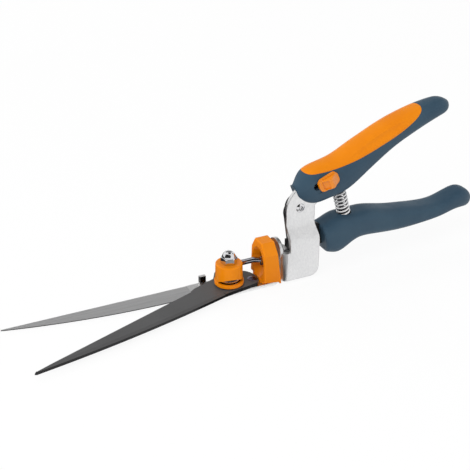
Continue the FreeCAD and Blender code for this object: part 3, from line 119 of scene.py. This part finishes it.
# Painted highlight (bright) and painted shade (dark) of the spring's wire
SPRING_PAINTED_HIGHLIGHT = (0.92, 0.92, 0.92, 1.0)
SPRING_PAINTED_SHADE = (0.05, 0.05, 0.06, 1.0)
DRAWN = (0.46, 0.46, 0.50, 1.0)
DRAWN_DARK = (0.30, 0.30, 0.34, 1.0)
BLACKENED = (0.22, 0.20, 0.27, 1.0)
BLACKENED_DARK = (0.14, 0.13, 0.18, 1.0)
NYLON = (0.72, 0.71, 0.67, 1.0)
NYLON_DARK = (0.62, 0.61, 0.57, 1.0)
BLACK_PLASTIC = (0.02, 0.02, 0.022, 1.0)
BLACK_PLASTIC_DEEP = (0.012, 0.012, 0.014, 1.0)
WHITE = (1.0, 1.0, 1.0, 1.0)

# White world: what the background shows, and the weaker light that it gives
BACKGROUND_STRENGTH = 1.0
WORLD_STRENGTH = 0.55

# Floor, just under the head, which glows for the rays that see the background
FLOOR_SIZE = 12.0
FLOOR_DROP = 0.2 * MM
FLOOR_TONE = (0.96, 0.96, 0.96, 1.0)
FLOOR_ROUGHNESS = 0.9
FLOOR_GLOW_SHARE = 0.90

# What the lamps and standing cards face, in metres
HEAD_PLACE = (0.0, 0.0, 0.03)
BEHIND_HANDLES = (0.25, 0.0, 0.03)

# Lamps: name, place and size in metres, power in watts
LAMPS = (
    ("key", (-0.9, -0.8, 1.5), (1.2, 1.2), 14.0),
    ("left", (-1.6, 0.0, 0.55), (1.0, 0.8), 8.0),
    ("fill", (1.2, -1.2, 0.9), (1.4, 1.4), 4.5),
    ("back", (0.2, 1.6, 1.3), (1.6, 1.0), 8.0),
)

# Standing cards: name, place, what they face and size in metres, tone
STANDING_CARDS = (
    ("back_card", (0.40, 0.87, 0.98), HEAD_PLACE, (1.7, 1.0), 0.21),
    ("left_card", (-1.3, -0.2, 0.12), HEAD_PLACE, (0.9, 0.6), 0.04),
    ("top_card", (0.25, 0.0, 1.45), BEHIND_HANDLES, (1.0, 1.0), 0.03),
    ("camera_card", (-0.90, -0.85, 0.92), HEAD_PLACE, (3.6, 1.7), 0.03),
)

# Cards that lie on the floor: name, middle and size in metres, tone
FLOOR_CARDS = (
    ("near_floor_card", (0.006, -0.0242), (0.064, 0.0236), 0.03),
    ("nut_floor_card", (0.004, -0.058), (0.096, 0.044), 0.35),
    ("far_floor_card", (-0.355, 0.308), (0.8, 0.584), 0.03),
)
FLOOR_CARD_DROP = 0.1 * MM

# Camera, found from the photograph's perspective
CAMERA_PLACE = Vector((-228.5, -499.8, 334.8)) * MM
CAMERA_AZIMUTH = math.radians(-25.0)
CAMERA_ELEVATION = math.radians(28.0)
CAMERA_FIELD = math.radians(28.42)
CAMERA_NEAR = 10.0 * MM
CAMERA_FAR = 20.0


def new_material(name):
    material = bpy.data.materials.new(name)
    material.use_nodes = True
    tree = material.node_tree
    shader = tree.nodes["Principled BSDF"]
    return material, tree, shader


def feed(tree, socket, value):
    """Links a socket to another node's output, or gives it a value of its own."""
    if isinstance(value, bpy.types.NodeSocket):
        tree.links.new(value, socket)
    else:
        socket.default_value = value


def texture_place(tree, scale=EVEN):
    """Object coordinates in metres, stretched by a scale along each axis."""
    source = tree.nodes.new("ShaderNodeTexCoord")
    mapping = tree.nodes.new("ShaderNodeMapping")
    mapping.inputs["Scale"].default_value = scale
    tree.links.new(source.outputs["Object"], mapping.inputs["Vector"])
    return mapping.outputs["Vector"]


def along_axes(tree, vector):
    """The parts of a vector, by the names of their axes."""
    split = tree.nodes.new("ShaderNodeSeparateXYZ")
    tree.links.new(vector, split.inputs["Vector"])
    return split.outputs


def object_normal(tree):
    """The direction that the surface faces in the object's own frame, by axis."""
    source = tree.nodes.new("ShaderNodeTexCoord")
    return along_axes(tree, source.outputs["Normal"])


def noise(tree, place, scale=1.0, detail=3.0, roughness=0.5):
    node = tree.nodes.new("ShaderNodeTexNoise")
    node.inputs["Scale"].default_value = scale
    node.inputs["Detail"].default_value = detail
    node.inputs["Roughness"].default_value = roughness
    tree.links.new(place, node.inputs["Vector"])
    return node.outputs["Fac"]


def ramp(tree, value, low=0.0, high=1.0, start=0.3, end=0.7):
    """Maps a value between start and end to the numbers from low to high."""
    node = tree.nodes.new("ShaderNodeMapRange")
    node.inputs["From Min"].default_value = start
    node.inputs["From Max"].default_value = end
    node.inputs["To Min"].default_value = low
    node.inputs["To Max"].default_value = high
    tree.links.new(value, node.inputs["Value"])
    return node.outputs["Result"]


def combine(tree, operation, first, second):
    """One number from two, such as their product."""
    node = tree.nodes.new("ShaderNodeMath")
    node.operation = operation
    tree.links.new(first, node.inputs[0])
    tree.links.new(second, node.inputs[1])
    return node.outputs[0]


def blend_colours(tree, share, first, second, blend_type="MIX"):
    node = tree.nodes.new("ShaderNodeMix")
    node.data_type = "RGBA"
    node.blend_type = blend_type
    feed(tree, node.inputs["Factor"], share)
    feed(tree, node.inputs["A"], first)
    feed(tree, node.inputs["B"], second)
    return node.outputs["Result"]


def distance_from_axis(tree, place, start, end):
    """How far a place lies from the line through start and end."""
    arm = tree.nodes.new("ShaderNodeVectorMath")
    arm.operation = "SUBTRACT"
    tree.links.new(place, arm.inputs[0])
    arm.inputs[1].default_value = start
    across = tree.nodes.new("ShaderNodeVectorMath")
    across.operation = "CROSS_PRODUCT"
    tree.links.new(arm.outputs[0], across.inputs[0])
    across.inputs[1].default_value = (end - start).normalized()
    reach = tree.nodes.new("ShaderNodeVectorMath")
    reach.operation = "LENGTH"
    tree.links.new(across.outputs[0], reach.inputs[0])
    return reach.outputs["Value"]


def rounded_edges(tree, radius):
    node = tree.nodes.new("ShaderNodeBevel")
    node.samples = EDGE_SAMPLES
    node.inputs["Radius"].default_value = radius
    return node.outputs["Normal"]


def vary(tree, texture, middle, below, above):
    """A number that a texture varies about a middle."""
    return ramp(tree, texture, low=middle - below, high=middle + above)


def finish_surface(tree, shader, colour, roughness):
    """Gives a surface the colour and roughness that its textures make."""
    tree.links.new(colour, shader.inputs["Base Color"])
    tree.links.new(roughness, shader.inputs["Roughness"])


def add_bump(tree, shader, height, depth, strength, edge=None):
    """Shades the surface as a texture raises it, over edges softened where a radius is given."""
    node = tree.nodes.new("ShaderNodeBump")
    node.inputs["Distance"].default_value = depth
    node.inputs["Strength"].default_value = strength
    tree.links.new(height, node.inputs["Height"])
    if edge is not None:
        tree.links.new(rounded_edges(tree, edge), node.inputs["Normal"])
    tree.links.new(node.outputs["Normal"], shader.inputs["Normal"])


def moulded(name, colour, deep, roughness, grain_scale, grain_depth, edge, shine=0.22):
    """Moulded plastic: a fine grain, slow changes of tone and gloss, and soft edges."""
    material, tree, shader = new_material(name)
    place = texture_place(tree)
    slow = noise(tree, place, scale=45.0, detail=4.0)
    patches = noise(tree, place, scale=160.0, detail=5.0)
    grain = noise(tree, place, scale=grain_scale, detail=2.0)
    tone = blend_colours(tree, ramp(tree, slow, start=0.35, end=0.70), colour, deep)
    gloss = vary(tree, patches, roughness, below=0.05, above=0.07)
    finish_surface(tree, shader, tone, gloss)
    shader.inputs["Specular IOR Level"].default_value = shine
    add_bump(tree, shader, grain, grain_depth, strength=0.6, edge=edge)
    return material


def brushed(name, colour, dark, roughness, stretch, line_depth, edge):
    """Satin metal: fine marks in tone, gloss and height, drawn out by a stretch, under a slow mottle."""
    material, tree, shader = new_material(name)
    lines = noise(tree, texture_place(tree, stretch), detail=4.0, roughness=0.65)
    cloud = noise(tree, texture_place(tree), scale=38.0, detail=4.0)
    streaked = blend_colours(tree, ramp(tree, lines, start=0.30, end=0.72), colour, dark)
    mottle = blend_colours(tree, ramp(tree, cloud), MOTTLE, WHITE)
    tone = blend_colours(tree, MOTTLE_SHARE, streaked, mottle, blend_type="MULTIPLY")
    gloss = vary(tree, lines, roughness, below=0.07, above=0.09)
    finish_surface(tree, shader, tone, gloss)
    shader.inputs["Metallic"].default_value = 1.0
    add_bump(tree, shader, lines, line_depth, strength=0.5, edge=edge)
    return material


def polished(name, colour, dark, roughness, edge):
    """Smooth metal with slow changes of tone and faint handling marks."""
    material, tree, shader = new_material(name)
    place = texture_place(tree)
    marks = noise(tree, place, scale=420.0, detail=6.0, roughness=0.7)
    cloud = noise(tree, place, scale=90.0, detail=3.0)
    tone = blend_colours(tree, ramp(tree, cloud), colour, dark)
    gloss = ramp(tree, marks, low=roughness * SMOOTHEST_SHARE, high=roughness * ROUGHEST_SHARE)
    finish_surface(tree, shader, tone, gloss)
    shader.inputs["Metallic"].default_value = 1.0
    add_bump(tree, shader, marks, POLISHED_MARKS, strength=0.3, edge=edge)
    return material


def coated(name, colour, worn, flat_axis, roughness, edge):
    """A dark baked coating with painted shade, which makes every side but the one that faces along an
    axis nearly black.
    """
    material, tree, shader = new_material(name)
    even = texture_place(tree)
    lines = noise(tree, texture_place(tree, COATING_LINES), detail=3.0)
    specks = noise(tree, even, scale=900.0, detail=3.0)
    cloud = noise(tree, even, scale=30.0, detail=4.0)
    flat = blend_colours(tree, ramp(tree, cloud, high=0.6), colour, worn)
    # Painted shade: every face that doesn't look along flat_axis goes near-black
    painted_lit_share = ramp(tree, object_normal(tree)[flat_axis], start=0.80, end=0.98)
    tone = blend_colours(tree, painted_lit_share, COATING_PAINTED_SHADE, flat)
    gloss = vary(tree, lines, roughness, below=0.06, above=0.08)
    finish_surface(tree, shader, tone, gloss)
    shader.inputs["Specular IOR Level"].default_value = 0.3
    add_bump(tree, shader, specks, COATING_SPECKS, strength=0.35, edge=edge)
    return material


def blade_steel():
    """Bright plate, ground lengthwise ahead of a line across the neck, with painted shade on the edges
    of its near side.
    """
    material, tree, shader = new_material("blade_steel")
    fine = noise(tree, texture_place(tree, FINE_BLADE_LINES), detail=5.0, roughness=0.7)
    broad = noise(tree, texture_place(tree, BROAD_BLADE_LINES), detail=3.0)
    neck = noise(tree, texture_place(tree, NECK_LINES), detail=3.0)
    streaks = blend_colours(tree, ramp(tree, fine, start=0.28, end=0.72), BLADE, BLADE_DARK)
    ground = blend_colours(tree, ramp(tree, broad, high=0.5, start=0.55, end=0.8), streaks, BLADE_STREAK)
    plate = blend_colours(tree, ramp(tree, neck), PLATE, PLATE_DARK)
    along = along_axes(tree, texture_place(tree))["X"]
    behind = ramp(tree, along, start=GRIND_LINE - BLADE_LINE_BLUR, end=GRIND_LINE + BLADE_LINE_BLUR)
    flats = blend_colours(tree, behind, ground, plate)
    # Painted shade: the faces that look towards -Y, from the tip back to a line near the head, go
    # near-black
    near = ramp(tree, object_normal(tree)["Y"], low=1.0, high=0.0, start=-0.8, end=-0.5)
    ahead = ramp(tree, along, low=1.0, high=0.0, start=PAINTED_SHADE_END - BLADE_LINE_BLUR,
                 end=PAINTED_SHADE_END + BLADE_LINE_BLUR)
    tone = blend_colours(tree, combine(tree, "MULTIPLY", near, ahead), flats, BLADE_PAINTED_SHADE)
    finish_surface(tree, shader, tone, ramp(tree, fine, low=0.33, high=0.48))
    shader.inputs["Metallic"].default_value = 1.0
    add_bump(tree, shader, fine, GROUND_LINES, strength=0.5, edge=BLADE_EDGE)
    return material


def spring_steel():
    """Drawn wire with a painted highlight on its upper outer side and painted shade on its inner side
    and underside.
    """
    material, tree, shader = new_material("spring_steel")
    place = texture_place(tree)
    marks = noise(tree, place, scale=600.0, detail=5.0, roughness=0.7)
    upward = ramp(tree, object_normal(tree)["Z"], start=-0.10, end=0.20)
    reach = distance_from_axis(tree, place, SPRING_LOWER, SPRING_UPPER)
    outward = ramp(tree, reach, start=SPRING_DARK_RADIUS, end=SPRING_BRIGHT_RADIUS)
    # Painted highlight on the wire's upper outer side, painted shade on its inner side and underside
    tone = blend_colours(tree, combine(tree, "MULTIPLY", upward, outward), SPRING_PAINTED_SHADE, SPRING_PAINTED_HIGHLIGHT)
    finish_surface(tree, shader, tone, ramp(tree, marks, low=0.22, high=0.36))
    shader.inputs["Metallic"].default_value = 0.15
    add_bump(tree, shader, marks, WIRE_MARKS, strength=0.3)
    return material


def coated_blade():
    # Painted shade on every face of the upper blade but its top
    return coated("coated_blade", COATING, COATING_WORN, flat_axis="Z", roughness=0.40,
                  edge=BLADE_EDGE)


def lever_coating():
    # Painted shade on every face of the lever but its far side
    return coated("lever_coating", LEVER_COATING, LEVER_WORN, flat_axis="Y", roughness=0.42,
                  edge=LEVER_EDGE)


def dark_rivet():
    return polished("dark_rivet", BLACKENED, BLACKENED_DARK, roughness=0.30, edge=SMALL_PART_EDGE)


def orange_moulding():
    return moulded("orange_moulding", ORANGE, ORANGE_DEEP, roughness=0.34, grain_scale=2600.0,
                   grain_depth=HEAD_GRAIN, edge=HEAD_EDGE)


def orange_slider():
    return moulded("orange_slider", ORANGE, ORANGE_DEEP, roughness=0.22, grain_scale=2600.0,
                   grain_depth=SLIDER_GRAIN, edge=SLIDER_EDGE, shine=0.6)


def orange_inlay():
    return moulded("orange_inlay", ORANGE, ORANGE_DEEP, roughness=0.46, grain_scale=2300.0,
                   grain_depth=INLAY_GRAIN, edge=INLAY_EDGE)


def slate_moulding():
    return moulded("slate_moulding", SLATE, SLATE_DARK, roughness=0.46, grain_scale=2300.0,
                   grain_depth=HANDLE_GRAIN, edge=HANDLE_EDGE)


def satin_plate():
    return brushed("satin_plate", NICKEL, NICKEL_DARK, roughness=0.34, stretch=BRACKET_STRETCH,
                   line_depth=BRACKET_LINES, edge=BRACKET_EDGE)


def chrome():
    return polished("chrome", CHROME, CHROME_DARK, roughness=0.07, edge=FASTENER_EDGE)


def drawn_rod():
    return polished("drawn_rod", DRAWN, DRAWN_DARK, roughness=0.09, edge=FASTENER_EDGE)


def zinc():
    return polished("zinc", NICKEL, NICKEL_DARK, roughness=0.24, edge=FASTENER_EDGE)


def rivet_steel():
    return brushed("rivet_steel", NICKEL, NICKEL_DARK, roughness=0.30, stretch=RIVET_STRETCH,
                   line_depth=RIVET_LINES, edge=SMALL_PART_EDGE)


def nylon():
    return moulded("nylon", NYLON, NYLON_DARK, roughness=0.4, grain_scale=2000.0,
                   grain_depth=SMALL_PART_GRAIN, edge=SMALL_PART_EDGE)


def black_moulding():
    return moulded("black_moulding", BLACK_PLASTIC, BLACK_PLASTIC_DEEP, roughness=0.45,
                   grain_scale=2000.0, grain_depth=SMALL_PART_GRAIN, edge=SMALL_PART_EDGE)


def tube(name, points, radius, sides, material):
    """A round wire along a smooth row of points, closed at both ends."""
    vertices = []
    side = Vector((0.0, 1.0, 0.0))
    last = len(points) - 1
    for index, point in enumerate(points):
        along = (points[min(index + 1, last)] - points[max(index - 1, 0)]).normalized()
        side = (side - along * side.dot(along)).normalized()
        other = along.cross(side)
        for step in range(sides):
            turn = 2 * math.pi * step / sides
            vertices.append(point + (side * math.cos(turn) + other * math.sin(turn)) * radius)
    faces = [tuple(range(sides))[::-1], tuple(last * sides + step for step in range(sides))]
    for index in range(last):
        for step in range(sides):
            after = (step + 1) % sides
            low = index * sides
            faces.append((low + step, low + after, low + sides + after, low + sides + step))
    mesh = bpy.data.meshes.new(name)
    mesh.from_pydata(vertices, [], faces)
    mesh.polygons.foreach_set("use_smooth", [True] * len(faces))
    mesh.materials.append(material)
    piece = bpy.data.objects.new(name, mesh)
    bpy.context.scene.collection.objects.link(piece)
    return piece


def spring_heights(count):
    """Heights of the points along the coil, which climbs more slowly at its closed ends."""
    heights = [0.0]
    for index in range(count):
        share = (index + 0.5) / count
        open_share = min(share / SPRING_CLOSED_SHARE, (1 - share) / SPRING_CLOSED_SHARE, 1.0)
        pitch = SPRING_CLOSED_PITCH_SHARE + (1 - SPRING_CLOSED_PITCH_SHARE) * open_share
        heights.append(heights[-1] + pitch)
    return heights


def make_spring(material):
    """Return spring with closed ends, which gives way as the handles close; drawn here as a fixed coil
    that stays between its seats.
    """
    axis = (SPRING_UPPER - SPRING_LOWER).normalized()
    side = Vector((0.0, 1.0, 0.0))
    other = axis.cross(side)
    length = (SPRING_UPPER - SPRING_LOWER).length - 2 * SPRING_WIRE_RADIUS
    count = int(SPRING_TURNS * SPRING_STEPS_PER_TURN)
    heights = spring_heights(count)
    points = []
    for index, height in enumerate(heights):
        turn = 2 * math.pi * SPRING_TURNS * index / count
        radial = side * math.cos(turn) + other * math.sin(turn)
        rise = SPRING_WIRE_RADIUS + length * height / heights[-1]
        points.append(SPRING_LOWER + axis * rise + radial * SPRING_RADIUS)
    spring = tube("spring_coil", points, SPRING_WIRE_RADIUS, SPRING_WIRE_SIDES, material)
    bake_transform(spring)
    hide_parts("return_spring")


def assign(material, *names):
    for name in names:
        mesh = nodes[name].data
        mesh.materials.clear()
        mesh.materials.append(material)


def dress_nodes():
    assign(blade_steel(), "lower_blade")
    assign(coated_blade(), "upper_blade")
    assign(lever_coating(), "lever")
    assign(dark_rivet(), "tail_rivet")
    assign(orange_moulding(), "blade_sleeve", "head_collar")
    assign(orange_slider(), "lock_slider")
    assign(orange_inlay(), "top_grip_inlay")
    assign(slate_moulding(), "top_handle", "lower_handle")
    assign(satin_plate(), "bracket")
    assign(chrome(), "acorn_nut", "tension_discs", "lever_rivet")
    assign(drawn_rod(), "pull_shaft", "link_rod")
    make_spring(spring_steel())
    assign(zinc(), "blade_bolt", "blade_washer", "collar_screws", "swivel_bush", "lock_washer",
           "swivel_nut", "link_pin", "shaft_nut", "link_clip", "lever_washer", "lock_latch")
    assign(rivet_steel(), "handle_rivets", "lower_handle_pins")
    assign(nylon(), "swivel_washer")
    assign(black_moulding(), "spring_seat_upper", "spring_seat_lower")


def background_rays(tree):
    """1 for the rays that see the plain white background, 0 for those that only bring light."""
    path = tree.nodes.new("ShaderNodeLightPath")
    seen = combine(tree, "MAXIMUM", path.outputs["Is Camera Ray"], path.outputs["Is Glossy Ray"])
    return combine(tree, "MAXIMUM", seen, path.outputs["Is Transmission Ray"])


def make_world():
    world = bpy.data.worlds.new("studio")
    bpy.context.scene.world = world
    world.use_nodes = True
    tree = world.node_tree
    ground = tree.nodes["Background"]
    ground.inputs["Color"].default_value = WHITE
    strength = ramp(tree, background_rays(tree), low=WORLD_STRENGTH, high=BACKGROUND_STRENGTH,
                    start=0.0, end=1.0)
    tree.links.new(strength, ground.inputs["Strength"])


def rectangle(name, width, depth):
    x = width / 2
    y = depth / 2
    mesh = bpy.data.meshes.new(name)
    mesh.from_pydata([(-x, -y, 0.0), (x, -y, 0.0), (x, y, 0.0), (-x, y, 0.0)], [], [(0, 1, 2, 3)])
    sheet = bpy.data.objects.new(name, mesh)
    bpy.context.scene.collection.objects.link(sheet)
    return sheet


def emission(tree, colour):
    node = tree.nodes.new("ShaderNodeEmission")
    node.inputs["Color"].default_value = colour
    return node.outputs["Emission"]


def make_floor():
    floor = rectangle("floor", FLOOR_SIZE, FLOOR_SIZE)
    floor.location.z = -FLOOR_DROP
    material, tree, shader = new_material("floor")
    shader.inputs["Base Color"].default_value = FLOOR_TONE
    shader.inputs["Roughness"].default_value = FLOOR_ROUGHNESS
    mix = tree.nodes.new("ShaderNodeMixShader")
    share = ramp(tree, background_rays(tree), high=FLOOR_GLOW_SHARE, start=0.0, end=1.0)
    tree.links.new(share, mix.inputs["Fac"])
    tree.links.new(shader.outputs["BSDF"], mix.inputs[1])
    tree.links.new(emission(tree, WHITE), mix.inputs[2])
    tree.links.new(mix.outputs["Shader"], tree.nodes["Material Output"].inputs["Surface"])
    floor.data.materials.append(material)


def aim(thing, place, target):
    """Puts a lamp or card in its place and turns its face to a target."""
    thing.location = Vector(place)
    direction = Vector(target) - thing.location
    thing.rotation_euler = direction.to_track_quat("-Z", "Y").to_euler()


def area_light(name, place, size, power):
    """A soft lamp that reflections don't see."""
    light = bpy.data.lights.new(name, "AREA")
    light.shape = "RECTANGLE"
    light.size = size[0]
    light.size_y = size[1]
    light.energy = power
    lamp = bpy.data.objects.new(name, light)
    bpy.context.scene.collection.objects.link(lamp)
    aim(lamp, place, HEAD_PLACE)
    lamp.visible_glossy = False


def card(name, place, target, size, tone):
    """A studio card that only reflections see."""
    sheet = rectangle(name, size[0], size[1])
    aim(sheet, place, target)
    sheet.visible_camera = False
    sheet.visible_diffuse = False
    sheet.visible_shadow = False
    material = new_material(name)[0]
    tree = material.node_tree
    glow = emission(tree, (tone, tone, tone, 1.0))
    tree.links.new(glow, tree.nodes["Material Output"].inputs["Surface"])
    sheet.data.materials.append(material)


def light_studio():
    for name, place, size, power in LAMPS:
        area_light(name, place, size, power)
    for name, place, target, size, tone in STANDING_CARDS:
        card(name, place, target, size, tone)
    for name, middle, size, tone in FLOOR_CARDS:
        place = (middle[0], middle[1], -FLOOR_CARD_DROP)
        overhead = (middle[0], middle[1], 1.0)
        card(name, place, overhead, size, tone)


def make_camera():
    camera = bpy.data.cameras.new("camera")
    camera.sensor_fit = "HORIZONTAL"
    camera.angle = CAMERA_FIELD
    camera.clip_start = CAMERA_NEAR
    camera.clip_end = CAMERA_FAR
    holder = bpy.data.objects.new("camera", camera)
    bpy.context.scene.collection.objects.link(holder)
    azimuth = CAMERA_AZIMUTH
    level = math.cos(CAMERA_ELEVATION)
    right = Vector((math.cos(azimuth), math.sin(azimuth), 0.0))
    back = Vector((math.sin(azimuth) * level, -math.cos(azimuth) * level, math.sin(CAMERA_ELEVATION)))
    up = back.cross(right)
    turn = Matrix((right, up, back)).transposed()
    holder.matrix_world = Matrix.Translation(CAMERA_PLACE) @ turn.to_4x4()
    bpy.context.scene.camera = holder


dress_nodes()
make_world()
make_floor()
light_studio()
make_camera()

bpy.context.scene.view_settings.view_transform = "Standard"
